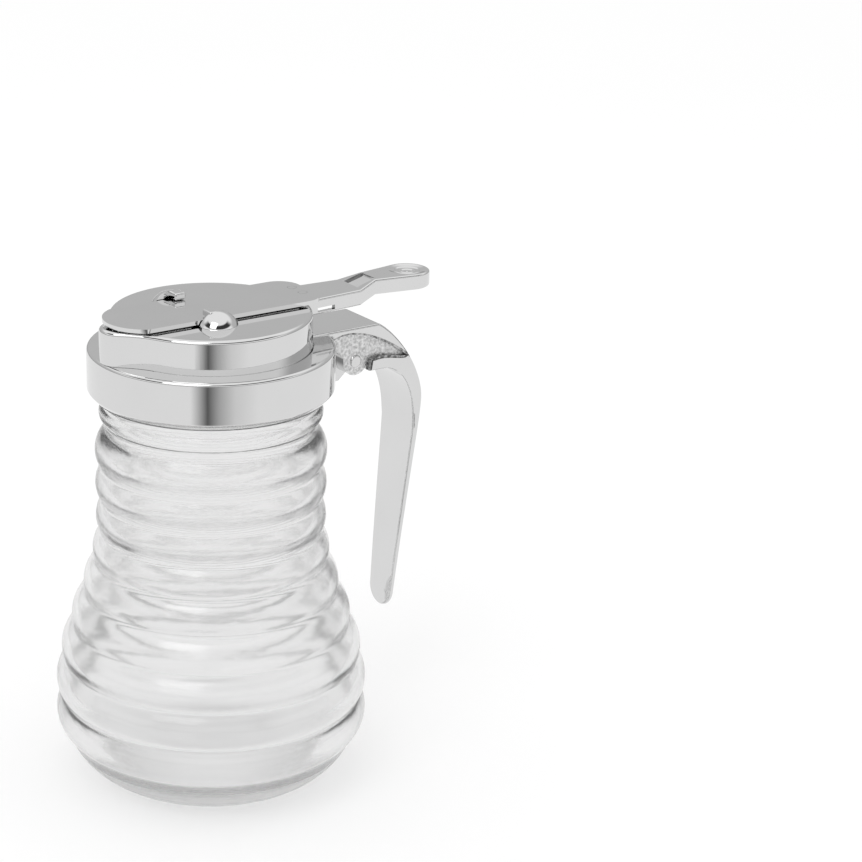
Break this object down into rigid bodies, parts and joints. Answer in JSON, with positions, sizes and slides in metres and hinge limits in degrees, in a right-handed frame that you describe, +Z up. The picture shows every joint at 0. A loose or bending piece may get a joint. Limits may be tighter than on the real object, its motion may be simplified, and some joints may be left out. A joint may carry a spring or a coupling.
{
  "type": "honey dispenser",
  "caption": "Ribbed glass honey dispenser with a screw-on chromed head, a thumb-drawn sliding gate that springs shut, and a side handle",
  "frame": {"origin": "centre of the flat underside of the jar", "axes": "+Z up along the jar's axis; the pouring beak points to -X, the handle and the thumb lever to +X"},
  "size_m": [0.0937, 0.072, 0.114],
  "materials": {
    "glass": "clear colourless pressed glass",
    "seal": "soft translucent white",
    "chrome": "bright mirror plating",
    "spring_steel": "drawn wire"
  },
  "bodies": {
    "jar": {"glass_jar": "glass"},
    "seal": {"neck_seal": "seal"},
    "head": {"screw_collar": "chrome", "spout_body": "chrome", "guide_near": "chrome", "guide_far": "chrome", "return_spring": "spring_steel", "handle": "chrome", "handle_pin": "chrome"},
    "gate": {"gate_plate": "chrome", "thumb_lever": "chrome", "gate_rivets": "chrome"}
  },
  "joints": [
    {"name": "cap_rise", "type": "slide", "parent": "jar", "child": "seal", "axis": [0, 0, 1], "range_m": [0, 0.00375]},
    {"name": "cap_unscrew", "type": "hinge", "parent": "seal", "child": "head", "pos_m": [0, 0, 0.1], "axis": [0, 0, 1], "range_deg": [0, 450]},
    {"name": "gate_slide", "type": "slide", "parent": "head", "child": "gate", "axis": [1, 0, 0], "range_m": [0, 0.012], "stiffness_N_per_m": 120, "springref_m": -0.01, "deforming": ["return_spring"]}
  ],
  "couplings": [
    {"joint": "cap_rise", "follows": "cap_unscrew", "m_per_rad": 0.00047746}
  ]
}
